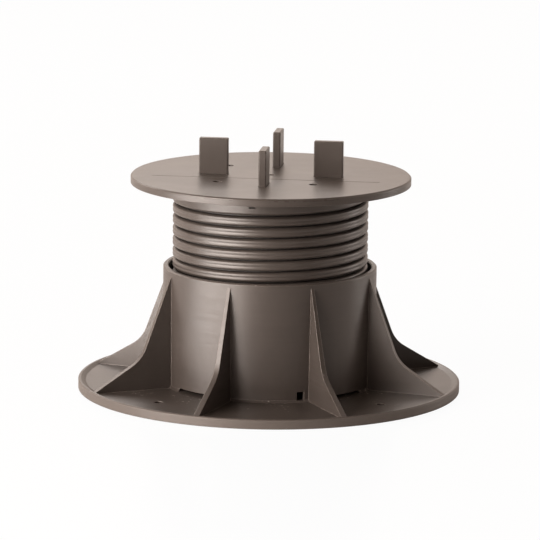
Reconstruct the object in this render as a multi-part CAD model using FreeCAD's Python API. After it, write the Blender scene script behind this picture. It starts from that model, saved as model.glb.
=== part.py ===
import FreeCAD, Part
import math
import os

# Adjustable decking pedestal, in millimetres.
# A flanged base holds a screwed riser. A round head plate is clipped on the riser's neck,
# so it can be held still while the riser turns, and four spacer tabs are clipped into it.
# Frame: +Z up, origin in the middle of the base's underside. The viewer stands on the -Y side.
# Heights are those of the photographed setting. The socket is as deep as the riser is long, so that
# the riser goes all the way down: LOWER_MAX and RAISE_MAX say how far it travels from there.

# Screw thread shared by riser and base, right-handed, one start
PITCH = 5.8
CREST_R = 51.0
THREAD_DEPTH = 2.4
GROOVE_ROOT_HALF = 0.5      # half the width of the flat in the bottom of the groove
FLANK_SLOPE = 0.28          # axial widening of the groove for each millimetre outwards
GROOVE_LEVEL_DROP = 7.6     # from the plate's underside down to the groove's middle at azimuth 0
GROOVE_END_DROP = 7.1       # from the plate's underside down to where the groove runs out
THREAD_PLAY = 0.34          # axial gap between rib and groove on either flank
RIB_TIP_GAP = 0.5           # radial gap between the rib's tip and the groove's root
RIB_TURNS = 1.0
RIB_END_PLAY = 0.3          # height left between rib and groove's end with the head at its lowest
THREAD_HELD = 5.0           # height of the rib that the riser still holds at its highest
SOCKET_CLEARANCE = 1.9      # radial gap between the riser's crests and the socket's bore

# Base moulding
FLANGE_R = 100.0            # the disc that stands on the roof
FLANGE_T = 3.9              # also the height of the floor inside the socket
FLANGE_RIM_Z = 5.0          # the disc's edge stands a little higher, sloping down inwards
FLANGE_RIM_WIDTH = 0.9
FLANGE_SLOPE_WIDTH = 2.5
FLANGE_CHAMFER = 0.6
BASE_TURN_DEG = 0.6         # how far the base stands turned in the photographed setting
SOCKET_WALL = 2.9
RIM_CHAMFER = 0.6
FOOT_CHAMFER = 1.2          # where the socket meets the flange

GUSSET_COUNT = 8
GUSSET_TOP_T = 1.6          # the webs thicken downwards, as draft for the mould
GUSSET_FOOT_T = 3.1
GUSSET_FIRST_DEG = 22.5
GUSSET_DROP = 2.4           # from the socket's rim down to the top of the webs
GUSSET_KNEE_OUT = 16.3      # from the socket's wall out to where the steep edge meets the low one
GUSSET_KNEE_Z = 20.1
GUSSET_KNEE_ROUND = 18.0
GUSSET_TIP_IN = 1.2         # from the disc's edge in to the tip of the webs

FLANGE_HOLE_D = 4.5
FLANGE_HOLE_IN = 19.5       # from the disc's edge in to the fixing holes
FLANGE_HOLE_FIRST_DEG = 45.0
FLANGE_HOLE_COUNT = 4

DRAIN_WIDTH = 22.0          # one low slot in each bay that has a fixing hole
DRAIN_HEIGHT = 1.7
DRAIN_FIRST_DEG = 45.0
DRAIN_COUNT = 4

FOOT_WINDOW_DEG = -73.0     # single small opening beside a gusset, seen in the photographed setting
FOOT_WINDOW_WIDTH = 3.8
FOOT_WINDOW_HEIGHT = 4.5
FOOT_WINDOW_UP = 0.8        # above the flange

# Riser moulding
RISER_LENGTH = 62.0
RISER_SHOWN = 43.6          # from the socket's rim up to the plate's underside, as photographed
FLOOR_CLEARANCE = 0.5       # under the riser with the head at its lowest
RIM_CLEARANCE = 1.0         # between the plate's underside and the socket's rim, at the lowest
RISER_WALL = 4.7
RISER_LEAD_IN = 1.0
LIP_HEIGHT = 4.4            # inward lip at the top that the head's hooks catch under
LIP_REACH = 1.3
NECK_WINDOW_WIDTH = 3.4     # moulding windows just below the lip
NECK_WINDOW_HEIGHT = 0.7
NECK_WINDOW_DEGS = (-100.8, 79.2)

# Head plate moulding
HEAD_TURN_DEG = -7.0        # how far the head stands turned in the photographed setting
PLATE_OVERHANG = 22.1       # beyond the riser's crests
PLATE_T = 3.9
PLATE_CHAMFER = 0.7
SCREW_HOLE_D = 4.5
SCREW_HOLE_HALF_PITCH = 25.0
CENTRE_HOLE_D = 3.6
LINE_OFFSET = 12.7          # engraved alignment line, in front of the centre
LINE_X = (-61.0, 58.0)
LINE_WIDTH = 0.7
LINE_DEPTH = 0.4

HOOK_COUNT = 4              # spring fingers that hang inside the riser's lip
HOOK_FIRST_DEG = 45.0
HOOK_ARC_DEG = 40.0
HOOK_WALL = 2.0
HOOK_FIT = 0.1              # running fit of the fingers inside the lip
HOOK_GRIP = 1.1             # how far each hook reaches out under the lip
HOOK_SEAT = 0.3             # play between the hook and the lip
HOOK_DEPTH = 1.0            # straight height of the hook's edge
HOOK_LEAD = 1.4

# Spacer tabs, all four alike
TAB_LENGTH = 15.2
TAB_T = 4.0
TAB_HEIGHT = 18.8           # above the plate
TAB_MID_R = 30.1
POCKET_DEPTH = 1.0          # each tab stands in a shallow pocket of the plate
POCKET_FIT = 0.15           # gap between the tab and its pocket, each side
TAB_CORNER_ROUND = 0.5
TAB_TOP_CHAMFER = 0.4
TONGUE_LENGTH = 10.0
TONGUE_T = 2.5
TONGUE_FIT = 0.15           # gap between the tongue and its slot, each side
BARB_GRIP = 0.7
BARB_SEAT = 0.3             # play between the barbs and the plate's underside
BARB_DROP = 2.6
TONGUE_SPLIT = 0.8

PAST = 1.0                  # how far a cutting shape runs past the face it cuts

SOCKET_RIM_Z = FLANGE_T + FLOOR_CLEARANCE + RISER_LENGTH - RIM_CLEARANCE
PLATE_BOTTOM_Z = SOCKET_RIM_Z + RISER_SHOWN
PLATE_TOP_Z = PLATE_BOTTOM_Z + PLATE_T
RISER_BOTTOM_Z = PLATE_BOTTOM_Z - RISER_LENGTH
LIP_UNDER_Z = PLATE_BOTTOM_Z - LIP_HEIGHT
GROOVE_LEVEL_Z = PLATE_BOTTOM_Z - GROOVE_LEVEL_DROP
GROOVE_END_Z = PLATE_BOTTOM_Z - GROOVE_END_DROP
LOWER_MAX = RISER_SHOWN - RIM_CLEARANCE
RIB_END_Z = GROOVE_END_Z - LOWER_MAX - RIB_END_PLAY
RIB_START_Z = RIB_END_Z - RIB_TURNS * PITCH
RAISE_MAX = RIB_END_Z - THREAD_HELD - RISER_BOTTOM_Z
GUSSET_TOP_Z = SOCKET_RIM_Z - GUSSET_DROP
FOOT_WINDOW_Z = (FLANGE_T + FOOT_WINDOW_UP, FLANGE_T + FOOT_WINDOW_UP + FOOT_WINDOW_HEIGHT)

GROOVE_ROOT_R = CREST_R - THREAD_DEPTH
SOCKET_BORE_R = CREST_R + SOCKET_CLEARANCE
SOCKET_OUTER_R = SOCKET_BORE_R + SOCKET_WALL
RISER_BORE_R = CREST_R - RISER_WALL
LIP_R = RISER_BORE_R - LIP_REACH
PLATE_R = CREST_R + PLATE_OVERHANG
GUSSET_KNEE_R = SOCKET_OUTER_R + GUSSET_KNEE_OUT
GUSSET_TIP_R = FLANGE_R - GUSSET_TIP_IN
FLANGE_HOLE_R = FLANGE_R - FLANGE_HOLE_IN
FLANGE_SLOPE_TOP_R = FLANGE_R - FLANGE_CHAMFER - FLANGE_RIM_WIDTH
UP = FreeCAD.Vector(0, 0, 1)
ORIGIN = FreeCAD.Vector(0, 0, 0)


def turned(shape, degrees):
    """The shape turned about the pedestal's axis."""
    copy = shape.copy()
    copy.rotate(ORIGIN, UP, degrees)
    return copy


def in_section(points):
    """(radius, height) pairs as vectors in the XZ plane."""
    return [FreeCAD.Vector(r, 0, z) for r, z in points]


def corner_arc(before, corner, after, radius):
    """Arc edge that rounds the corner between two straight edges."""
    back = (before - corner).normalize()
    ahead = (after - corner).normalize()
    half = back.getAngle(ahead) / 2
    reach = radius / math.tan(half)
    middle = corner + (back + ahead).normalize() * (radius / math.sin(half) - radius)
    return Part.Arc(corner + back * reach, middle, corner + ahead * reach).toShape()


def outline(points, rounds=None):
    """Closed wire through (radius, height) points. rounds gives a radius by point number."""
    rounds = rounds or {}
    corners = in_section(points)
    count = len(corners)
    arcs = {i: corner_arc(corners[i - 1], corners[i], corners[(i + 1) % count], rounds[i]) for i in rounds}
    arrive = {i: arc.valueAt(arc.FirstParameter) for i, arc in arcs.items()}
    leave = {i: arc.valueAt(arc.LastParameter) for i, arc in arcs.items()}
    edges = list(arcs.values())
    for i, corner in enumerate(corners):
        following = (i + 1) % count
        edges.append(Part.makeLine(leave.get(i, corner), arrive.get(following, corners[following])))
    return Part.Wire(Part.__sortEdges__(edges))


def revolved(points, rounds=None, degrees=360):
    """Solid of revolution about the pedestal's axis."""
    face = Part.Face(outline(points, rounds))
    return face.revolve(ORIGIN, UP, degrees)


def radial_box(r_from, r_to, width, z_from, z_to, degrees):
    """Box that lies along a radius, centred on it, at the given azimuth."""
    box = Part.makeBox(r_to - r_from, width, z_to - z_from, FreeCAD.Vector(r_from, -width / 2, z_from))
    return turned(box, degrees)


def bar_along_x(section, x_from, x_to):
    """Bar with the given (y, height) section between two places on the X axis."""
    corners = [FreeCAD.Vector(x_from, y, z) for y, z in section]
    return Part.Face(Part.makePolygon(corners + corners[:1])).extrude(FreeCAD.Vector(x_to - x_from, 0, 0))


def around(shape, count, first_deg):
    """Copies of a shape evenly spaced round the axis."""
    return [turned(shape, first_deg + i * 360 / count) for i in range(count)]


def thread_sweep(section, z_from, z_to):
    """A (radius, height) section swept along the thread's helix between two heights.

    The helix passes through GROOVE_LEVEL_Z at azimuth 0, so groove and rib mesh.
    """
    spine = Part.Wire(Part.makeHelix(PITCH, z_to - z_from, GROOVE_ROOT_R).Edges)
    sweep = Part.BRepOffsetAPI.MakePipeShell(spine)
    sweep.setBiNormalMode(UP)
    sweep.add(outline(section))
    sweep.build()
    sweep.makeSolid()
    swept = sweep.shape()
    swept.rotate(ORIGIN, UP, (z_from - GROOVE_LEVEL_Z) / PITCH * 360)
    swept.translate(UP * z_from)
    return swept


def groove_half(radius):
    """Half the groove's axial width at a radius."""
    return GROOVE_ROOT_HALF + FLANK_SLOPE * (radius - GROOVE_ROOT_R)


def gusset():
    """One stiffening web, along +X, from the socket's wall down to the flange."""
    buried_r = SOCKET_OUTER_R - SOCKET_WALL / 2
    buried_z = FLANGE_T - PAST
    points = [
        (buried_r, buried_z),
        (buried_r, GUSSET_TOP_Z),
        (SOCKET_OUTER_R, GUSSET_TOP_Z),
        (GUSSET_KNEE_R, GUSSET_KNEE_Z),
        (GUSSET_TIP_R, FLANGE_T),
        (GUSSET_TIP_R, buried_z),
    ]
    face = Part.Face(outline(points, {3: GUSSET_KNEE_ROUND}))
    face.translate(FreeCAD.Vector(0, -GUSSET_FOOT_T / 2, 0))
    slab = face.extrude(FreeCAD.Vector(0, GUSSET_FOOT_T, 0))
    across = [
        (-GUSSET_FOOT_T / 2, buried_z),
        (GUSSET_FOOT_T / 2, buried_z),
        (GUSSET_TOP_T / 2, GUSSET_TOP_Z),
        (-GUSSET_TOP_T / 2, GUSSET_TOP_Z),
    ]
    return slab.common(bar_along_x(across, buried_r - PAST, GUSSET_TIP_R + PAST))


def socket_and_flange():
    """Flange disc, closed floor and upright socket wall as one turned form."""
    points = [
        (0, 0),
        (FLANGE_R, 0),
        (FLANGE_R, FLANGE_RIM_Z - FLANGE_CHAMFER),
        (FLANGE_R - FLANGE_CHAMFER, FLANGE_RIM_Z),
        (FLANGE_SLOPE_TOP_R, FLANGE_RIM_Z),
        (FLANGE_SLOPE_TOP_R - FLANGE_SLOPE_WIDTH, FLANGE_T),
        (SOCKET_OUTER_R + FOOT_CHAMFER, FLANGE_T),
        (SOCKET_OUTER_R, FLANGE_T + FOOT_CHAMFER),
        (SOCKET_OUTER_R, SOCKET_RIM_Z - RIM_CHAMFER),
        (SOCKET_OUTER_R - RIM_CHAMFER, SOCKET_RIM_Z),
        (SOCKET_BORE_R + RIM_CHAMFER, SOCKET_RIM_Z),
        (SOCKET_BORE_R, SOCKET_RIM_Z - RIM_CHAMFER),
        (SOCKET_BORE_R, FLANGE_T),
        (0, FLANGE_T),
    ]
    return revolved(points)


def socket_rib():
    """The turn of thread inside the socket that runs in the riser's groove."""
    tip_r = GROOVE_ROOT_R + RIB_TIP_GAP
    buried_r = SOCKET_BORE_R + SOCKET_WALL / 2
    tip_half = groove_half(tip_r) - THREAD_PLAY
    buried_half = groove_half(buried_r) - THREAD_PLAY
    section = [
        (tip_r, tip_half),
        (buried_r, buried_half),
        (buried_r, -buried_half),
        (tip_r, -tip_half),
    ]
    return thread_sweep(section, RIB_START_Z, RIB_END_Z)


def base():
    """The whole base moulding."""
    body = socket_and_flange().fuse(around(gusset(), GUSSET_COUNT, GUSSET_FIRST_DEG))
    hole = Part.makeCylinder(FLANGE_HOLE_D / 2, FLANGE_T + 2 * PAST, FreeCAD.Vector(FLANGE_HOLE_R, 0, -PAST))
    through_wall = (SOCKET_BORE_R - 2 * PAST, SOCKET_OUTER_R + FOOT_CHAMFER + PAST)
    drain = radial_box(*through_wall, DRAIN_WIDTH, FLANGE_T, FLANGE_T + DRAIN_HEIGHT, 0)
    window = radial_box(*through_wall, FOOT_WINDOW_WIDTH, *FOOT_WINDOW_Z, FOOT_WINDOW_DEG - BASE_TURN_DEG)
    cuts = around(hole, FLANGE_HOLE_COUNT, FLANGE_HOLE_FIRST_DEG)
    cuts += around(drain, DRAIN_COUNT, DRAIN_FIRST_DEG)
    return turned(body.cut(cuts + [window]), BASE_TURN_DEG).fuse(socket_rib())


def threaded_riser():
    """Hollow riser: outside thread, plain neck, and an inward lip at the top."""
    points = [
        (RISER_BORE_R, RISER_BOTTOM_Z),
        (CREST_R - RISER_LEAD_IN, RISER_BOTTOM_Z),
        (CREST_R, RISER_BOTTOM_Z + RISER_LEAD_IN),
        (CREST_R, PLATE_BOTTOM_Z),
        (LIP_R, PLATE_BOTTOM_Z),
        (LIP_R, LIP_UNDER_Z),
        (RISER_BORE_R, LIP_UNDER_Z),
    ]
    tube = revolved(points)
    outside_r = CREST_R + PAST
    section = [
        (GROOVE_ROOT_R, groove_half(GROOVE_ROOT_R)),
        (outside_r, groove_half(outside_r)),
        (outside_r, -groove_half(outside_r)),
        (GROOVE_ROOT_R, -groove_half(GROOVE_ROOT_R)),
    ]
    groove = thread_sweep(section, RISER_BOTTOM_Z - PITCH / 2, GROOVE_END_Z)
    windows = [
        radial_box(RISER_BORE_R - PAST, outside_r, NECK_WINDOW_WIDTH,
                   LIP_UNDER_Z - NECK_WINDOW_HEIGHT, LIP_UNDER_Z, degrees)
        for degrees in NECK_WINDOW_DEGS
    ]
    return tube.cut([groove] + windows)


def hook():
    """One spring finger of the head, centred on +X, hooked under the riser's lip."""
    outer_r = LIP_R - HOOK_FIT
    inner_r = outer_r - HOOK_WALL
    reach_r = LIP_R - HOOK_FIT + HOOK_GRIP
    catch_z = LIP_UNDER_Z - HOOK_SEAT
    points = [
        (inner_r, PLATE_BOTTOM_Z + PAST),
        (inner_r, catch_z - HOOK_DEPTH - HOOK_LEAD),
        (outer_r - HOOK_LEAD + HOOK_GRIP, catch_z - HOOK_DEPTH - HOOK_LEAD),
        (reach_r, catch_z - HOOK_DEPTH),
        (reach_r, catch_z),
        (outer_r, catch_z),
        (outer_r, PLATE_BOTTOM_Z + PAST),
    ]
    return turned(revolved(points, degrees=HOOK_ARC_DEG), -HOOK_ARC_DEG / 2)


def alignment_line():
    """Cutting shape of the straight engraved line."""
    x_from, x_to = LINE_X
    corner = FreeCAD.Vector(x_from, -LINE_OFFSET - LINE_WIDTH / 2, PLATE_TOP_Z - LINE_DEPTH)
    return Part.makeBox(x_to - x_from, LINE_WIDTH, LINE_DEPTH + PAST, corner)


def head_plate():
    """Round plate with its hooks, screw holes, tab slots and alignment line."""
    points = [
        (0, PLATE_BOTTOM_Z),
        (PLATE_R, PLATE_BOTTOM_Z),
        (PLATE_R, PLATE_TOP_Z - PLATE_CHAMFER),
        (PLATE_R - PLATE_CHAMFER, PLATE_TOP_Z),
        (0, PLATE_TOP_Z),
    ]
    plate = revolved(points).fuse(around(hook(), HOOK_COUNT, HOOK_FIRST_DEG))
    slot_half = TONGUE_LENGTH / 2 + TONGUE_FIT
    slot = radial_box(TAB_MID_R - slot_half, TAB_MID_R + slot_half, TONGUE_T + 2 * TONGUE_FIT,
                      PLATE_BOTTOM_Z - PAST, PLATE_TOP_Z + PAST, 0)
    pocket_half = TAB_LENGTH / 2 + POCKET_FIT
    pocket = radial_box(TAB_MID_R - pocket_half, TAB_MID_R + pocket_half, TAB_T + 2 * POCKET_FIT,
                        PLATE_TOP_Z - POCKET_DEPTH, PLATE_TOP_Z + PAST, 0)
    drill_from = PLATE_BOTTOM_Z - PAST
    drill_length = PLATE_T + 2 * PAST
    corners = [(i * SCREW_HOLE_HALF_PITCH, j * SCREW_HOLE_HALF_PITCH) for i in (-1, 1) for j in (-1, 1)]
    drills = [
        Part.makeCylinder(SCREW_HOLE_D / 2, drill_length, FreeCAD.Vector(x, y, drill_from))
        for x, y in corners
    ]
    drills.append(Part.makeCylinder(CENTRE_HOLE_D / 2, drill_length, FreeCAD.Vector(0, 0, drill_from)))
    seats = around(slot, len(TABS), 0) + around(pocket, len(TABS), 0)
    plate = plate.cut(seats + drills + [alignment_line()])
    return turned(plate, HEAD_TURN_DEG)


def spacer_tab(degrees):
    """One spacer tab at an azimuth of the head: upright blade, split tongue and barbs."""
    seat_z = PLATE_TOP_Z - POCKET_DEPTH
    blade = Part.makeBox(TAB_LENGTH, TAB_T, TAB_HEIGHT + POCKET_DEPTH,
                         FreeCAD.Vector(TAB_MID_R - TAB_LENGTH / 2, -TAB_T / 2, seat_z))
    upright = [e for e in blade.Edges if e.BoundBox.ZLength > PAST]
    blade = blade.makeFillet(TAB_CORNER_ROUND, upright)
    top = [e for e in blade.Edges if e.BoundBox.ZMin > seat_z + PAST]
    blade = blade.makeChamfer(TAB_TOP_CHAMFER, top)
    half = TONGUE_T / 2
    catch_z = PLATE_BOTTOM_Z - BARB_SEAT
    tip_z = catch_z - BARB_DROP
    side = [
        (half, seat_z + PAST),
        (half, catch_z),
        (half + BARB_GRIP, catch_z),
        (half, tip_z),
    ]
    across = side + [(-y, z) for y, z in reversed(side)]
    x_from = TAB_MID_R - TONGUE_LENGTH / 2
    tongue = bar_along_x(across, x_from, x_from + TONGUE_LENGTH)
    split = Part.makeBox(TONGUE_LENGTH + 2 * PAST, TONGUE_SPLIT, seat_z - tip_z,
                         FreeCAD.Vector(x_from - PAST, -TONGUE_SPLIT / 2, tip_z - PAST))
    return turned(blade.fuse(tongue).cut(split), degrees + HEAD_TURN_DEG)


# azimuth of each tab in the head before it is turned
TABS = {
    "spacer_tab_right": 0,
    "spacer_tab_back": 90,
    "spacer_tab_left": 180,
    "spacer_tab_front": 270,
}


def write_parts():
    """Builds every piece and writes one STEP file for each."""
    pieces = {"base": base(), "threaded_riser": threaded_riser(), "head_plate": head_plate()}
    for name, degrees in TABS.items():
        pieces[name] = spacer_tab(degrees)
    os.makedirs("parts", exist_ok=True)
    for name, shape in pieces.items():
        assert shape.isValid() and len(shape.Solids) == 1, name
        shape.Solids[0].exportStep("parts/" + name + ".step")
        print(name, round(shape.Volume / 1000, 2), "cm3", len(shape.Faces), "faces")


write_parts()
print("the head travels from", round(-LOWER_MAX, 3), "to", round(RAISE_MAX, 3), "mm of the photographed setting")
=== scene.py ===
import logging
import math
from dataclasses import dataclass, field
from enum import Enum

import bmesh
import bpy
import numpy as np
from mathutils import Matrix, Vector


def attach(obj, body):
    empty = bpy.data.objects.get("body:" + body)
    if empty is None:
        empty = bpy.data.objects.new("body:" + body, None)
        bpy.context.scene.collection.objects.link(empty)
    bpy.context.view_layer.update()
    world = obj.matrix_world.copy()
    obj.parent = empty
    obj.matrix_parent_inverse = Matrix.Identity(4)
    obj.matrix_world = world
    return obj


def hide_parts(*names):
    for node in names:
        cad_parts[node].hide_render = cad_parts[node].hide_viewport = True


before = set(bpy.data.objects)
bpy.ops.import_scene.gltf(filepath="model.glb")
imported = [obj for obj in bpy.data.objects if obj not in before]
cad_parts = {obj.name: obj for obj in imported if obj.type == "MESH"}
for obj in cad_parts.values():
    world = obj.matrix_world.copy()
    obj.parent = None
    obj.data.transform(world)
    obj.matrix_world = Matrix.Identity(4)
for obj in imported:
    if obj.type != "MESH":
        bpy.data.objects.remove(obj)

log = logging.getLogger("decking_pedestal")

MM = 0.001
NODE_STEP = 190  # between nodes in the editor
MIX_SHARE = 0  # a Mix node's sockets, where it mixes colours
MIX_COLOURS = (6, 7)
MIX_RESULT = 2
STREAK_SCALE = (9.0, 9.0, 800.0)  # long around the axis and fine along it
STREAK_ROUGHNESS = 0.25
DUST_ROUGHNESS = 0.3

Colour = tuple[float, float, float, float]


class GroupName(Enum):
    """The shader effects that the mouldings are finished with."""

    MOULD_TONE = "mould_tone"
    EDGE_RUB = "edge_rub_and_highlight"
    SITE_DUST = "site_dust"
    RADIUS_MASK = "radius_mask"
    GRIT = "grit"


class Layout:
    """Places nodes in a tree and links them, so that a material reads as a list of steps."""

    def __init__(self, tree: bpy.types.NodeTree) -> None:
        """Keeps the tree that nodes go into.

        Args:
            tree: The node tree of a material, world or group.
        """
        self.tree = tree
        self.column = 0

    def add(self, kind: str, **values: object) -> bpy.types.Node:
        """Adds a node and sets its properties and sockets.

        Args:
            kind: Blender's name of the node type.
            **values: Properties of the node by name. A name that isn't a property
                is an input socket, with underscores for spaces.

        Returns:
            The new node.
        """
        node = self.tree.nodes.new(kind)
        node.location = (self.column * NODE_STEP, 0)
        self.column += 1
        for name, value in values.items():
            if name in node.bl_rna.properties:
                setattr(node, name, value)
            else:
                node.inputs[name.replace("_", " ")].default_value = value
        return node

    def join(self, source: bpy.types.NodeSocket, target: bpy.types.NodeSocket) -> None:
        """Links an output socket to an input socket."""
        self.tree.links.new(source, target)

    def feed(self, source: object, target: bpy.types.NodeSocket) -> None:
        """Gives an input socket what it takes.

        Args:
            source: An output socket to link, or a value to set.
            target: The input socket.
        """
        if isinstance(source, bpy.types.NodeSocket):
            self.join(source, target)
        else:
            target.default_value = source

    def maths(self, operation: str, *operands: object, clamp: bool = False) -> bpy.types.NodeSocket:
        """Adds a Math node.

        Args:
            operation: The Math node's operation.
            *operands: Numbers or sockets, in order.
            clamp: Whether the result is kept within 0 and 1.

        Returns:
            The node's output socket.
        """
        node = self.add("ShaderNodeMath", operation=operation, use_clamp=clamp)
        for operand, target in zip(operands, node.inputs):
            self.feed(operand, target)
        return node.outputs[0]

    def ramp(self, source: bpy.types.NodeSocket, low: float, high: float, to_low: float = 0.0,
             to_high: float = 1.0) -> bpy.types.NodeSocket:
        """Maps a value smoothly from one range to another.

        Args:
            source: The value to map.
            low: Input at which the output is to_low.
            high: Input at which the output is to_high.
            to_low: Output at low.
            to_high: Output at high.

        Returns:
            The mapped value.
        """
        node = self.add("ShaderNodeMapRange", interpolation_type="SMOOTHSTEP")
        self.join(source, node.inputs["Value"])
        for name, value in (("From Min", low), ("From Max", high), ("To Min", to_low), ("To Max", to_high)):
            node.inputs[name].default_value = value
        return node.outputs["Result"]

    def mix(self, share: bpy.types.NodeSocket, first: object, second: object) -> bpy.types.NodeSocket:
        """Mixes two colours.

        Args:
            share: How much of the second colour shows.
            first: Colour or socket.
            second: Colour or socket.

        Returns:
            The mixed colour.
        """
        node = self.add("ShaderNodeMix", data_type="RGBA")
        self.join(share, node.inputs[MIX_SHARE])
        for colour, index in zip((first, second), MIX_COLOURS):
            self.feed(colour, node.inputs[index])
        return node.outputs[MIX_RESULT]


class EffectGroups:
    """Builds the shader node groups once and places them in materials."""

    def __init__(self) -> None:
        """Builds every group."""
        self.trees: dict[GroupName, bpy.types.NodeTree] = {
            GroupName.MOULD_TONE: self._mould_tone(),
            GroupName.EDGE_RUB: self._edge_rub_and_highlight(),
            GroupName.SITE_DUST: self._site_dust(),
            GroupName.RADIUS_MASK: self._radius_mask(),
            GroupName.GRIT: self._grit(),
        }

    @staticmethod
    def _new(name: GroupName, inputs: dict[str, tuple[str, object]],
             outputs: dict[str, str]) -> tuple[Layout, bpy.types.Node, bpy.types.Node]:
        """Makes an empty group with named sockets.

        Args:
            name: The effect.
            inputs: Socket type and starting value by socket name.
            outputs: Socket type by socket name.

        Returns:
            The layout, the group's input node and its output node.
        """
        tree = bpy.data.node_groups.new(name.value, "ShaderNodeTree")
        for label, (kind, value) in inputs.items():
            socket = tree.interface.new_socket(name=label, in_out="INPUT", socket_type=kind)
            socket.default_value = value
        for label, kind in outputs.items():
            tree.interface.new_socket(name=label, in_out="OUTPUT", socket_type=kind)
        layout = Layout(tree)
        return layout, layout.add("NodeGroupInput"), layout.add("NodeGroupOutput")

    def _mould_tone(self) -> bpy.types.NodeTree:
        """Cloudy tone of recycled plastic, with its fine grain and the mould's faint turning marks.

        Returns:
            The group. It puts out a colour, a roughness and a grain height.
        """
        layout, given, made = self._new(
            GroupName.MOULD_TONE,
            {
                "Dark": ("NodeSocketColor", (0.1, 0.1, 0.1, 1.0)),
                "Light": ("NodeSocketColor", (0.2, 0.2, 0.2, 1.0)),
                "Roughness": ("NodeSocketFloat", 0.5),
                "Grain Scale": ("NodeSocketFloat", 2500.0),
                "Turning": ("NodeSocketFloat", 1.0),
            },
            {"Color": "NodeSocketColor", "Roughness": "NodeSocketFloat", "Grain": "NodeSocketFloat"},
        )
        place = layout.add("ShaderNodeTexCoord").outputs["Object"]
        clouds = layout.add("ShaderNodeTexNoise", Scale=28.0, Detail=5.0, Roughness=0.62)
        layout.join(place, clouds.inputs["Vector"])
        specks = layout.add("ShaderNodeTexNoise", Scale=420.0, Detail=3.0, Roughness=0.6)
        layout.join(place, specks.inputs["Vector"])
        grain = layout.add("ShaderNodeTexNoise", Detail=2.0, Roughness=0.5)
        layout.join(place, grain.inputs["Vector"])
        layout.join(given.outputs["Grain Scale"], grain.inputs["Scale"])
        turned = layout.add("ShaderNodeVectorMath", operation="MULTIPLY")
        layout.join(place, turned.inputs[0])
        turned.inputs[1].default_value = STREAK_SCALE
        streaks = layout.add("ShaderNodeTexNoise", Scale=1.0, Detail=2.0, Roughness=0.5)
        layout.join(turned.outputs[0], streaks.inputs["Vector"])
        streak_share = layout.ramp(streaks.outputs["Fac"], low=0.3, high=0.7, to_low=-0.15, to_high=0.15)
        streak_share = layout.maths("MULTIPLY", streak_share, given.outputs["Turning"])
        cloud_share = layout.ramp(clouds.outputs["Fac"], low=0.33, high=0.68)
        speck_share = layout.ramp(specks.outputs["Fac"], low=0.4, high=0.75, to_high=0.12)
        share = layout.maths("ADD", layout.maths("ADD", cloud_share, speck_share), streak_share, clamp=True)
        layout.join(layout.mix(share, given.outputs["Dark"], given.outputs["Light"]), made.inputs["Color"])
        lift = layout.ramp(clouds.outputs["Fac"], low=0.3, high=0.7, to_low=-0.02, to_high=0.03)
        rough = layout.maths("ADD", given.outputs["Roughness"], lift, clamp=True)
        streak_lift = layout.maths("MULTIPLY", streak_share, STREAK_ROUGHNESS)
        rough = layout.maths("ADD", rough, streak_lift, clamp=True)
        layout.join(rough, made.inputs["Roughness"])
        layout.join(grain.outputs["Fac"], made.inputs["Grain"])
        return layout.tree

    def _edge_rub_and_highlight(self) -> bpy.types.NodeTree:
        """Softens sharp edges and finds them, so they can be painted pale: wear from handling, and on the
        base a painted highlight along the gussets' edges and corners.

        Returns:
            The group. It puts out the share of pale edge (wear and painted highlight) and the softened
            normal.
        """
        layout, given, made = self._new(
            GroupName.EDGE_RUB,
            {"Reach": ("NodeSocketFloat", 0.0006), "Amount": ("NodeSocketFloat", 0.4)},
            {"Rub And Highlight": "NodeSocketFloat", "Normal": "NodeSocketVector"},
        )
        soft = layout.add("ShaderNodeBevel", samples=6)
        layout.join(given.outputs["Reach"], soft.inputs["Radius"])
        plain = layout.add("ShaderNodeNewGeometry")
        dot = layout.add("ShaderNodeVectorMath", operation="DOT_PRODUCT")
        layout.join(soft.outputs["Normal"], dot.inputs[0])
        layout.join(plain.outputs["Normal"], dot.inputs[1])
        turn = layout.ramp(dot.outputs["Value"], low=0.995, high=0.8)
        patches = layout.add("ShaderNodeTexNoise", Scale=160.0, Detail=4.0, Roughness=0.65)
        layout.join(layout.add("ShaderNodeTexCoord").outputs["Object"], patches.inputs["Vector"])
        patch_share = layout.ramp(patches.outputs["Fac"], low=0.35, high=0.65, to_low=0.35)
        worn_and_highlit = layout.maths("MULTIPLY", turn, patch_share)
        rub = layout.maths("MULTIPLY", worn_and_highlit, given.outputs["Amount"], clamp=True)
        layout.join(rub, made.inputs["Rub And Highlight"])
        layout.join(soft.outputs["Normal"], made.inputs["Normal"])
        return layout.tree

    def _site_dust(self) -> bpy.types.NodeTree:
        """Pale film on faces that look up, in patches.

        Returns:
            The group. It puts out a dusty share.
        """
        layout, given, made = self._new(
            GroupName.SITE_DUST,
            {"Amount": ("NodeSocketFloat", 0.3)},
            {"Dust": "NodeSocketFloat"},
        )
        plain = layout.add("ShaderNodeNewGeometry")
        parts = layout.add("ShaderNodeSeparateXYZ")
        layout.join(plain.outputs["Normal"], parts.inputs[0])
        level = layout.ramp(parts.outputs["Z"], low=0.6, high=0.98)
        patches = layout.add("ShaderNodeTexNoise", Scale=45.0, Detail=6.0, Roughness=0.7)
        layout.join(layout.add("ShaderNodeTexCoord").outputs["Object"], patches.inputs["Vector"])
        patch_share = layout.ramp(patches.outputs["Fac"], low=0.3, high=0.72, to_low=0.25)
        film = layout.maths("MULTIPLY", level, patch_share)
        dust = layout.maths("MULTIPLY", film, given.outputs["Amount"], clamp=True)
        layout.join(dust, made.inputs["Dust"])
        return layout.tree

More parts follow.
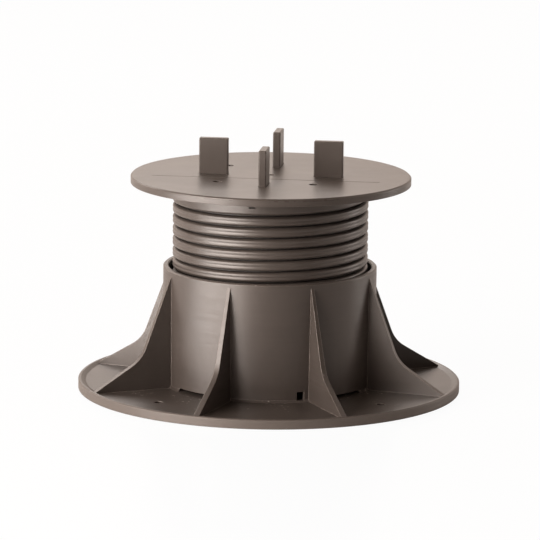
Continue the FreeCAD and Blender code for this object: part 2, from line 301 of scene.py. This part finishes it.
    def _radius_mask(self) -> bpy.types.NodeTree:
        """Finds a ring of the surface by its distance from the pedestal's axis.

        Returns:
            The group. It puts out a share that goes from 0 at one radius to 1 at the other.
        """
        layout, given, made = self._new(
            GroupName.RADIUS_MASK,
            {"From": ("NodeSocketFloat", 0.05), "To": ("NodeSocketFloat", 0.06)},
            {"Share": "NodeSocketFloat"},
        )
        flat = layout.add("ShaderNodeVectorMath", operation="MULTIPLY")
        flat.inputs[1].default_value = (1.0, 1.0, 0.0)
        layout.join(layout.add("ShaderNodeTexCoord").outputs["Object"], flat.inputs[0])
        length = layout.add("ShaderNodeVectorMath", operation="LENGTH")
        layout.join(flat.outputs[0], length.inputs[0])
        ramp = layout.add("ShaderNodeMapRange", interpolation_type="SMOOTHSTEP")
        layout.join(length.outputs["Value"], ramp.inputs["Value"])
        layout.join(given.outputs["From"], ramp.inputs["From Min"])
        layout.join(given.outputs["To"], ramp.inputs["From Max"])
        layout.join(ramp.outputs["Result"], made.inputs["Share"])
        return layout.tree

    def _grit(self) -> bpy.types.NodeTree:
        """Pale grains and scuffs that gather in patches on faces that look up.

        Returns:
            The group. It puts out the share of grains, before any limit by place.
        """
        layout, given, made = self._new(
            GroupName.GRIT,
            {"Grain Scale": ("NodeSocketFloat", 520.0), "Patch Scale": ("NodeSocketFloat", 60.0),
             "Amount": ("NodeSocketFloat", 0.6)},
            {"Share": "NodeSocketFloat"},
        )
        place = layout.add("ShaderNodeTexCoord").outputs["Object"]
        parts = layout.add("ShaderNodeSeparateXYZ")
        layout.join(layout.add("ShaderNodeNewGeometry").outputs["Normal"], parts.inputs[0])
        level = layout.ramp(parts.outputs["Z"], low=0.5, high=0.9)
        grains = layout.add("ShaderNodeTexNoise", Detail=3.0, Roughness=0.6)
        patches = layout.add("ShaderNodeTexNoise", Detail=2.0, Roughness=0.5)
        for node, scale in ((grains, "Grain Scale"), (patches, "Patch Scale")):
            layout.join(place, node.inputs["Vector"])
            layout.join(given.outputs[scale], node.inputs["Scale"])
        grain_share = layout.ramp(grains.outputs["Fac"], low=0.62, high=0.66)
        patch_share = layout.ramp(patches.outputs["Fac"], low=0.5, high=0.62)
        share = layout.maths("MULTIPLY", layout.maths("MULTIPLY", grain_share, patch_share), level)
        share = layout.maths("MULTIPLY", share, given.outputs["Amount"], clamp=True)
        layout.join(share, made.inputs["Share"])
        return layout.tree

    def place(self, layout: Layout, name: GroupName, **values: object) -> bpy.types.Node:
        """Puts a group into a material.

        Args:
            layout: The material's layout.
            name: Which effect.
            **values: Values of the group's inputs, with underscores for spaces.

        Returns:
            The group's node in that material.
        """
        node = layout.add("ShaderNodeGroup")
        node.node_tree = self.trees[name]
        for label, value in values.items():
            node.inputs[label.replace("_", " ")].default_value = value
        return node


@dataclass(frozen=True)
class MouldedPlastic:
    """Dark warm-grey polypropylene as it leaves the mould, slightly handled, with painted highlights on
    edges and a band of painted shade or painted light by radius where a finish asks for one.
    """

    name: str
    dark: Colour = (0.041, 0.0325, 0.028, 1.0)
    light: Colour = (0.048, 0.0385, 0.0333, 1.0)
    # pale edge colour: wear, and where much of it is asked for, a painted highlight
    rub_and_highlight: Colour = (0.30, 0.25, 0.22, 1.0)
    dust: Colour = (0.30, 0.26, 0.23, 1.0)
    roughness: float = 0.31
    grain_scale: float = 2600.0
    grain_strength: float = 0.10
    grain_height: float = 0.2 * MM
    turning: float = 1.0
    edge_reach: float = 0.5 * MM
    rub_and_highlight_amount: float = 0.35
    dust_amount: float = 0.12
    soften: bool = True
    # ring: a band by radius painted with light: painted shade darkening the riser's thread grooves, and a
    # paler painted bounce light on the base's flange rim
    ring: tuple[float, float] | None = None  # radii in millimetres at which its tint is none and full
    ring_painted_light: Colour = (0.01, 0.008, 0.007, 1.0)
    ring_rough: float = 0.0
    grit: Colour = (0.62, 0.56, 0.50, 1.0)
    grit_amount: float = 0.0
    grit_within: tuple[float, float] = (92.0, 76.0)  # radii in millimetres where grit is none and full

    def build(self, groups: EffectGroups) -> bpy.types.Material:
        """Makes the material.

        Args:
            groups: The shared effects.

        Returns:
            The finished material.
        """
        material = bpy.data.materials.new(self.name)
        material.use_nodes = True
        material.node_tree.nodes.clear()
        layout = Layout(material.node_tree)
        tone = groups.place(layout, GroupName.MOULD_TONE, Dark=self.dark, Light=self.light,
                            Roughness=self.roughness, Grain_Scale=self.grain_scale, Turning=self.turning)
        edge = groups.place(layout, GroupName.EDGE_RUB, Reach=self.edge_reach, Amount=self.rub_and_highlight_amount)
        film = groups.place(layout, GroupName.SITE_DUST, Amount=self.dust_amount)
        # pale edges: wear, and a painted highlight along the base's gusset edges
        colour = layout.mix(edge.outputs["Rub And Highlight"], tone.outputs["Color"], self.rub_and_highlight)
        colour = layout.mix(film.outputs["Dust"], colour, self.dust)
        # painted light by radius: shade in the thread's grooves, bounce light on the flange's rim
        if self.ring:
            band = groups.place(layout, GroupName.RADIUS_MASK, From=self.ring[0] * MM, To=self.ring[1] * MM)
            colour = layout.mix(band.outputs["Share"], colour, self.ring_painted_light)
        if self.grit_amount:
            grains = groups.place(layout, GroupName.GRIT, Amount=self.grit_amount)
            outer, inner = (radius * MM for radius in self.grit_within)
            near = groups.place(layout, GroupName.RADIUS_MASK, From=outer, To=inner)
            gritty = layout.maths("MULTIPLY", grains.outputs["Share"], near.outputs["Share"])
            colour = layout.mix(gritty, colour, self.grit)
        dusty = layout.maths("MULTIPLY", film.outputs["Dust"], DUST_ROUGHNESS)
        rough = layout.maths("ADD", tone.outputs["Roughness"], dusty, clamp=True)
        if self.ring and self.ring_rough:
            scuffed = layout.maths("MULTIPLY", band.outputs["Share"], self.ring_rough)
            rough = layout.maths("ADD", rough, scuffed, clamp=True)
        bump = layout.add("ShaderNodeBump", Strength=self.grain_strength, Distance=self.grain_height)
        layout.join(tone.outputs["Grain"], bump.inputs["Height"])
        if self.soften:
            layout.join(edge.outputs["Normal"], bump.inputs["Normal"])
        shader = layout.add("ShaderNodeBsdfPrincipled", IOR=1.49)
        layout.join(colour, shader.inputs["Base Color"])
        layout.join(rough, shader.inputs["Roughness"])
        layout.join(bump.outputs["Normal"], shader.inputs["Normal"])
        surface = layout.add("ShaderNodeOutputMaterial")
        layout.join(shader.outputs[0], surface.inputs["Surface"])
        return material


def dress_node(node: str, material: bpy.types.Material) -> None:
    """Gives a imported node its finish.

    Args:
        node: The node's name.
        material: The finish for all of it.
    """
    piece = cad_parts[node]
    if not piece.material_slots:
        piece.data.materials.append(material)
    for slot in piece.material_slots:
        slot.material = material
    log.info("dressed %s with %s", node, material.name)


def ease(share: np.ndarray) -> np.ndarray:
    """Lets a share that grows evenly from 0 to 1 start and end gently."""
    return share * share * (3 - 2 * share)


@dataclass
class RiserMoulding:
    """The screwed riser with its true rounded thread, in millimetres from the base's underside."""

    body: str = "riser"
    node: str = "threaded_riser"
    pitch: float = 5.8
    crest_r: float = 51.0
    depth: float = 2.7
    root_half: float = 0.12
    flank_slope: float = 0.28  # how wide a flank is along the axis for each millimetre of depth
    shoulder_r: float = 1.3
    crest_dip: float = 0.16  # depth of the shallow dip along the middle of the crest
    dip_half: float = 0.85
    groove_level_z: float = 101.4  # height of the groove's middle at +X, in the turn that is counted as 0
    groove_end_z: float = 101.9  # height of its middle where it has run out
    run_out_deg: float = 15.0
    bottom_z: float = 47.0
    top_z: float = 109.0
    bore_r: float = 46.3
    lip_r: float = 45.0
    lip_under_z: float = 104.6
    lead_in: float = 1.0  # bevel at the foot
    window_degs: tuple[float, ...] = (-100.8, 79.2)
    window_width: float = 3.4
    window_height: float = 0.7
    window_overcut: float = 3.0
    columns: int = 240
    rows_per_ridge: int = 12
    crown_points: int = 5
    shoulder_lead: float = 0.2  # how far ahead of the crest's edge the finer rows begin
    weld: float = 0.004  # points nearer than this become one
    sliver: float = 0.001  # edges shorter than this go
    sharp_deg: float = 50.0

    def groove_depth(self, off: np.ndarray) -> np.ndarray:
        """How deep the groove is at an axial distance from its middle, with rounded shoulders.

        Args:
            off: Axial distances, without sign.

        Returns:
            Depths below the crest.
        """
        lean = math.atan2(1.0, self.flank_slope)
        crest_at = self.root_half + self.flank_slope * self.depth
        reach = self.shoulder_r * math.tan(lean / 2)
        flank = self.depth - (off - self.root_half) / self.flank_slope
        across = np.clip(crest_at + reach - off, 0.0, self.shoulder_r)
        shoulder = self.shoulder_r - np.sqrt(self.shoulder_r ** 2 - across ** 2)
        rounded_from = crest_at - reach * math.cos(lean)
        depth = np.where(off > rounded_from, shoulder, flank)
        return np.clip(depth, 0.0, self.depth)

    def outer_radius(self, azimuth: np.ndarray, z: np.ndarray) -> np.ndarray:
        """Radius of the outside at a place on the riser.

        Args:
            azimuth: Angles in radians from +X.
            z: Heights.

        Returns:
            Radii.
        """
        turns = (z - self.groove_level_z) / self.pitch - azimuth / (2 * math.pi)
        radius = np.full_like(z, self.crest_r)
        for above in (0, 1):  # the groove just under a point and the one just over it
            turn = np.floor(turns) + above
            middle = self.groove_level_z + (azimuth / (2 * math.pi) + turn) * self.pitch
            off = np.abs(z - middle)
            beyond = (middle - self.groove_end_z) / self.pitch * 360.0
            fade = ease(np.clip(-beyond / self.run_out_deg, 0.0, 1.0))
            depth = np.where(off < self.pitch / 2, self.groove_depth(off), 0.0) * fade
            radius = np.minimum(radius, self.crest_r - depth)
            inward = np.clip(1.0 - np.abs(z - middle + self.pitch / 2) / self.dip_half, 0.0, 1.0)
            dip = self.crest_dip * ease(inward) * fade
            radius = np.minimum(radius, self.crest_r - dip)
        lead = np.clip(self.bottom_z + self.lead_in - z, 0.0, self.lead_in)
        return np.minimum(radius, self.crest_r - lead)

    def turn_span(self) -> range:
        """Counts the turns of groove that the grid's rows cover, with one to spare at either end.

        Returns:
            The turns, of which 0 is the one at the groove's level.
        """
        first = math.floor((self.bottom_z - self.groove_level_z) / self.pitch) - 1
        last = math.ceil((self.top_z - self.groove_level_z) / self.pitch) + 1
        return range(first, last)

    def row_offsets(self) -> np.ndarray:
        """Places the grid's rows, finer beside the groove's root and on the crest.

        Returns:
            Their heights from the groove's level, upwards.
        """
        half = self.pitch / 2
        crest_at = self.root_half + self.flank_slope * self.depth
        mid_flank = (self.root_half + crest_at) / 2
        near = np.array([0.0, self.root_half, mid_flank, crest_at - self.shoulder_lead])
        far = np.linspace(near[-1], half - self.dip_half, self.rows_per_ridge // 2 + 1)[1:]
        crown = np.linspace(far[-1], half, self.crown_points)[1:-1]
        side = np.concatenate([near, far, crown, [half]])
        one = np.concatenate([side, (self.pitch - side[1:-1])[::-1]])
        return np.concatenate([one + turn * self.pitch for turn in self.turn_span()])

    def build(self) -> bpy.types.Object:
        """Makes the riser's mesh on a grid that follows the helix.

        Returns:
            The riser as one closed piece.
        """
        azimuths = np.linspace(0.0, 2 * math.pi, self.columns + 1)[:-1]
        offsets = self.row_offsets()
        inner_r = [self.lip_r, self.lip_r, self.bore_r, self.bore_r]
        inner_z = [self.top_z, self.lip_under_z, self.lip_under_z, self.bottom_z]
        grid = []
        for azimuth in azimuths:
            z = self.groove_level_z + offsets + azimuth / (2 * math.pi) * self.pitch
            z = np.clip(z, self.bottom_z, self.top_z)
            radius = self.outer_radius(np.full_like(z, azimuth), z)
            grid.append((np.concatenate([radius, inner_r]), np.concatenate([z, inner_z])))
        return self._closed_mesh("riser_moulding", azimuths, grid, len(offsets))

    def _closed_mesh(self, name: str, azimuths: np.ndarray, grid: list[tuple[np.ndarray, np.ndarray]],
                     outer_rows: int) -> bpy.types.Object:
        """Joins the columns into a closed surface, without the faces that the ends squeeze flat.

        Args:
            name: Name of the piece.
            azimuths: Angle of each column.
            grid: Radii and heights along each column, up the outside and then down the bore.
            outer_rows: How many of the rows are on the outside.

        Returns:
            The piece.
        """
        shape = bmesh.new()
        rows = len(grid[0][0])
        rings = []
        for azimuth, (radius, z) in zip(azimuths, grid):
            x, y = radius * math.cos(azimuth) * MM, radius * math.sin(azimuth) * MM
            rings.append([shape.verts.new((x[i], y[i], z[i] * MM)) for i in range(rows)])
        count = len(rings)
        per_turn = outer_rows // len(self.turn_span())
        rim, lip = outer_rows - 1, outer_rows
        for column in range(count):
            this, following = rings[column], rings[(column + 1) % count]
            climb = per_turn if column == count - 1 else 0  # the last column meets the first a turn higher
            for row in range(rim - climb):
                beside = row + climb
                shape.faces.new((this[row], following[beside], following[beside + 1], this[row + 1]))
            for row in range(lip, rows - 1):
                shape.faces.new((this[row], following[row], following[row + 1], this[row + 1]))
            shape.faces.new((this[rim], following[rim], following[lip], this[lip]))
            shape.faces.new((this[-1], following[-1], following[0], this[0]))
        bmesh.ops.remove_doubles(shape, verts=shape.verts, dist=self.weld * MM)
        bmesh.ops.dissolve_degenerate(shape, edges=shape.edges, dist=self.sliver * MM)
        bmesh.ops.recalc_face_normals(shape, faces=shape.faces)
        mesh = bpy.data.meshes.new(name)
        shape.to_mesh(mesh)
        shape.free()
        piece = bpy.data.objects.new(name, mesh)
        bpy.context.scene.collection.objects.link(piece)
        mesh.shade_smooth()
        mesh.set_sharp_from_angle(angle=math.radians(self.sharp_deg))
        return piece

    def cut_windows(self, piece: bpy.types.Object) -> None:
        """Cuts the moulding windows through the neck.

        Args:
            piece: The riser.
        """
        through = self.crest_r - self.lip_r + self.window_overcut
        size = (through * MM, self.window_width * MM, self.window_height * MM)
        wall_middle = (self.crest_r + self.bore_r) / 2
        middle = (wall_middle * MM, 0.0, (self.lip_under_z - self.window_height / 2) * MM)
        for degrees in self.window_degs:
            cutter = bpy.data.meshes.new("window_cutter")
            box = bmesh.new()
            bmesh.ops.create_cube(box, size=1.0)
            box.transform(Matrix.Rotation(math.radians(degrees), 4, "Z")
                          @ Matrix.Translation(middle) @ Matrix.Diagonal((*size, 1.0)))
            box.to_mesh(cutter)
            box.free()
            tool = bpy.data.objects.new("window_cutter", cutter)
            bpy.context.scene.collection.objects.link(tool)
            cut = piece.modifiers.new("window", "BOOLEAN")
            cut.operation = "DIFFERENCE"
            cut.solver = "EXACT"
            cut.object = tool
            bpy.context.view_layer.objects.active = piece
            bpy.ops.object.modifier_apply(modifier=cut.name)
            bpy.data.objects.remove(tool)

    def dress(self, material: bpy.types.Material) -> bpy.types.Object:
        """Builds the riser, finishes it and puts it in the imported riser's place.

        Args:
            material: Its finish.

        Returns:
            The riser.
        """
        piece = self.build()
        self.cut_windows(piece)
        piece.data.materials.append(material)
        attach(piece, self.body)
        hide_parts(self.node)
        log.info("riser: %d faces", len(piece.data.polygons))
        return piece


@dataclass
class BaseMoulding:
    """The flanged base with its gussets."""

    node: str = "base"

    def dress(self, material: bpy.types.Material) -> None:
        """Finishes the base.

        Args:
            material: Its finish.
        """
        dress_node(self.node, material)


@dataclass
class HeadMoulding:
    """The head plate and the spacer tabs that are clipped into it."""

    node: str = "head_plate"
    tabs: tuple[str, ...] = ("spacer_tab_front", "spacer_tab_right", "spacer_tab_back", "spacer_tab_left")

    def dress(self, plate: bpy.types.Material, tab: bpy.types.Material) -> None:
        """Finishes the plate and its tabs.

        Args:
            plate: The plate's finish.
            tab: The tabs' finish.
        """
        dress_node(self.node, plate)
        for name in self.tabs:
            dress_node(name, tab)


@dataclass(frozen=True)
class SoftLamp:
    """One softbox of the studio."""

    name: str
    place: tuple[float, float, float]
    aim: tuple[float, float, float]
    width: float
    height: float
    watts: float
    colour: tuple[float, float, float] = (1.0, 0.93, 0.88)

    def build(self) -> bpy.types.Object:
        """Makes the lamp.

        Returns:
            The lamp.
        """
        light = bpy.data.lights.new(self.name, "AREA")
        light.shape = "RECTANGLE"
        light.size = self.width
        light.size_y = self.height
        light.energy = self.watts
        light.color = self.colour
        lamp = bpy.data.objects.new(self.name, light)
        lamp.location = self.place
        lamp.visible_camera = False
        towards = Vector(self.aim) - Vector(self.place)
        lamp.rotation_euler = towards.to_track_quat("-Z", "Y").to_euler()
        bpy.context.scene.collection.objects.link(lamp)
        return lamp


class Axis(Enum):
    """The coordinates of a direction that the world's light goes by."""

    X = "X"
    Y = "Y"


@dataclass(frozen=True)
class Rise:
    """A smooth rise over one coordinate of a direction, from none at one end to full at the other."""

    axis: Axis
    start: float
    full: float

    def place(self, layout: Layout, facing: bpy.types.Node, to_low: float = 0.0,
              to_high: float = 1.0) -> bpy.types.NodeSocket:
        """Adds the rise to the world.

        Args:
            layout: The world's layout.
            facing: Node that gives the direction's coordinates.
            to_low: Brightness before the rise.
            to_high: Brightness after it.

        Returns:
            The brightness.
        """
        return layout.ramp(facing.outputs[self.axis.value], self.start, self.full, to_low, to_high)


@dataclass(frozen=True)
class Card:
    """A lighter or darker card that only reflections see."""

    strength: float  # under 0 for a darker one
    across: Rise
    along: Rise | None = None

    def place(self, layout: Layout, facing: bpy.types.Node) -> bpy.types.NodeSocket:
        """Adds the card to the world.

        Args:
            layout: The world's layout.
            facing: Node that gives the direction's coordinates.

        Returns:
            What the card adds to the brightness in reflections.
        """
        shine = self.across.place(layout, facing, to_high=self.strength)
        if self.along:
            shine = layout.maths("MULTIPLY", shine, self.along.place(layout, facing))
        return shine


@dataclass
class Studio:
    """Pale sweep, soft lamps, even surroundings and the photograph's camera, in metres."""

    camera_place: tuple[float, float, float] = (0.0, -2.2739, 0.5042)
    pitch_deg: float = -10.994
    roll_deg: float = 0.643
    focal_px: float = 4429.7
    frame_px: float = 540.0
    sensor_mm: float = 36.0
    far_clip: float = 50.0
    surround: float = 0.30  # even light from all round
    dim_front: float = 0.35  # brightness of the viewer's side in reflections
    backdrop: Rise = Rise(Axis.Y, -0.35, 0.45)
    left_fill: Card = Card(0.5, Rise(Axis.X, -0.3, -0.8))
    lamp_skirt: Card = Card(5.0, Rise(Axis.X, -0.18, -0.55), Rise(Axis.Y, -0.2, -0.45))
    right_gap: Card = Card(-0.3, Rise(Axis.X, 0.2, 0.5), Rise(Axis.Y, 0.1, -0.2))
    right_fill: Card = Card(1.1, Rise(Axis.X, 0.78, 0.88), Rise(Axis.Y, 0.5, 0.25))
    warmth: Colour = (1.0, 0.82, 0.71, 1.0)
    floor_half: float = 6.0
    floor_z: float = -0.2 * MM
    floor_glow: float = 0.95
    glow_radii: tuple[float, float] = (0.09, 0.1)  # where the floor's glow starts and is full
    lamps: list[SoftLamp] = field(default_factory=lambda: [
        SoftLamp("left_wall", place=(-1.244, -0.839, 0.46), aim=(0.0, 0.0, 0.07),
                 width=1.4, height=0.78, watts=46.0),
        SoftLamp("left_bounce", place=(-0.36, -0.23, 0.002), aim=(-0.36, -0.23, 0.5),
                 width=0.42, height=0.42, watts=3.0),
        SoftLamp("back_above", place=(-0.5, 1.3, 1.1), aim=(0.0, 0.0, 0.1),
                 width=1.4, height=0.8, watts=14.0),
        SoftLamp("right_rim", place=(1.2, 0.55, 0.35), aim=(0.0, 0.0, 0.07),
                 width=0.4, height=0.6, watts=2.5),
    ])

    def build(self) -> None:
        """Makes the whole studio."""
        self._floor()
        for lamp in self.lamps:
            lamp.build()
        self._surroundings()
        self._camera()
        bpy.context.scene.view_settings.view_transform = "Standard"

    @staticmethod
    def _seen(layout: Layout) -> bpy.types.NodeSocket:
        """Picks the rays that meet the sweep's plain white: the camera's, and those through glass.

        Args:
            layout: Layout of the world or of the floor's material.

        Returns:
            1 for those rays and 0 for all others.
        """
        path = layout.add("ShaderNodeLightPath")
        camera, through = path.outputs["Is Camera Ray"], path.outputs["Is Transmission Ray"]
        return layout.maths("MAXIMUM", camera, through, clamp=True)

    def _surroundings(self) -> None:
        """A white room to the eye and behind the object, with a dim side towards the viewer."""
        world = bpy.data.worlds.new("studio")
        world.use_nodes = True
        world.node_tree.nodes.clear()
        layout = Layout(world.node_tree)
        facing = layout.add("ShaderNodeSeparateXYZ")
        layout.join(layout.add("ShaderNodeTexCoord").outputs["Generated"], facing.inputs[0])
        mirrored = self.backdrop.place(layout, facing, to_low=self.dim_front)
        for card in (self.left_fill, self.lamp_skirt, self.right_gap, self.right_fill):
            mirrored = layout.maths("ADD", mirrored, card.place(layout, facing))
        glossy = layout.add("ShaderNodeLightPath").outputs["Is Glossy Ray"]
        gloss = layout.maths("MULTIPLY", mirrored, glossy)
        soft = layout.maths("MULTIPLY", layout.maths("SUBTRACT", 1.0, glossy), self.surround)
        seen = self._seen(layout)
        lit = layout.maths("ADD", gloss, soft)
        unseen = layout.maths("MULTIPLY", lit, layout.maths("SUBTRACT", 1.0, seen))
        white = layout.add("ShaderNodeBackground", Color=(1.0, 1.0, 1.0, 1.0))
        layout.join(seen, white.inputs["Strength"])
        warm = layout.add("ShaderNodeBackground", Color=self.warmth)
        layout.join(unseen, warm.inputs["Strength"])
        both = layout.add("ShaderNodeAddShader")
        layout.join(white.outputs[0], both.inputs[0])
        layout.join(warm.outputs[0], both.inputs[1])
        layout.join(both.outputs[0], layout.add("ShaderNodeOutputWorld").inputs["Surface"])
        bpy.context.scene.world = world

    def _floor(self) -> None:
        """A white floor that keeps a faint shadow."""
        mesh = bpy.data.meshes.new("floor")
        corners = [(x * self.floor_half, y * self.floor_half, self.floor_z)
                   for x, y in ((-1, -1), (1, -1), (1, 1), (-1, 1))]
        mesh.from_pydata(corners, [], [(0, 1, 2, 3)])
        floor = bpy.data.objects.new("floor", mesh)
        bpy.context.scene.collection.objects.link(floor)
        material = bpy.data.materials.new("pale_floor")
        material.use_nodes = True
        material.node_tree.nodes.clear()
        layout = Layout(material.node_tree)
        sheet = layout.add("ShaderNodeBsdfPrincipled", Base_Color=(0.8, 0.8, 0.8, 1.0),
                           Roughness=0.22, IOR=2.2)
        glow = layout.add("ShaderNodeEmission", Color=(1.0, 1.0, 1.0, 1.0), Strength=1.0)
        blend = layout.add("ShaderNodeMixShader")
        away = layout.add("ShaderNodeVectorMath", operation="LENGTH")
        layout.join(layout.add("ShaderNodeTexCoord").outputs["Object"], away.inputs[0])
        covered_r, open_r = self.glow_radii
        uncovered = layout.ramp(away.outputs["Value"], covered_r, open_r, to_high=self.floor_glow)
        layout.join(layout.maths("MULTIPLY", self._seen(layout), uncovered), blend.inputs[0])
        layout.join(sheet.outputs[0], blend.inputs[1])
        layout.join(glow.outputs[0], blend.inputs[2])
        layout.join(blend.outputs[0], layout.add("ShaderNodeOutputMaterial").inputs["Surface"])
        mesh.materials.append(material)

    def _camera(self) -> None:
        """The camera of the photograph."""
        data = bpy.data.cameras.new("photo_camera")
        data.sensor_width = self.sensor_mm
        data.lens = self.focal_px / self.frame_px * self.sensor_mm
        data.clip_end = self.far_clip
        camera = bpy.data.objects.new("photo_camera", data)
        pitch, roll = math.radians(self.pitch_deg), math.radians(self.roll_deg)
        ahead = Vector((0.0, math.cos(pitch), math.sin(pitch)))
        right = Vector((1.0, 0.0, 0.0))
        above = right.cross(ahead)
        leaning_right = math.cos(roll) * right + math.sin(roll) * above
        leaning_up = -math.sin(roll) * right + math.cos(roll) * above
        axes = Matrix((leaning_right, leaning_up, -ahead)).transposed()
        camera.matrix_world = Matrix.Translation(self.camera_place) @ axes.to_4x4()
        bpy.context.scene.collection.objects.link(camera)
        bpy.context.scene.camera = camera


def main() -> None:
    """Builds the pedestal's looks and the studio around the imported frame."""
    logging.basicConfig(level=logging.INFO, format="%(name)s: %(message)s")
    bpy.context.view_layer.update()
    groups = EffectGroups()
    base_finish = MouldedPlastic(
        # the gussets' edges are painted pale as highlights
        "base_plastic", roughness=0.37, rub_and_highlight_amount=0.95, edge_reach=0.4 * MM, dust_amount=0.05,
        # the flange's rim is painted paler as bounce light
        ring=(99.5, 99.9), ring_painted_light=(0.092, 0.077, 0.068, 1.0), ring_rough=0.1, grit_amount=0.75,
    ).build(groups)
    riser_finish = MouldedPlastic(
        "riser_plastic", roughness=0.36, rub_and_highlight_amount=0.0, soften=False, dust_amount=0.05,
        # the thread's grooves are painted dark as shade
        ring=(49.6, 48.8), ring_rough=0.15,
    ).build(groups)
    head_finish = MouldedPlastic("head_plastic").build(groups)
    tab_finish = MouldedPlastic(
        "tab_plastic", dark=(0.048, 0.0385, 0.033, 1.0), light=(0.055, 0.0445, 0.0385, 1.0),
        dust_amount=0.1, turning=0.2,
    ).build(groups)
    BaseMoulding().dress(base_finish)
    RiserMoulding().dress(riser_finish)
    HeadMoulding().dress(head_finish, tab_finish)
    Studio().build()
    log.info("pedestal dressed")


if __name__ == "__main__":
    main()
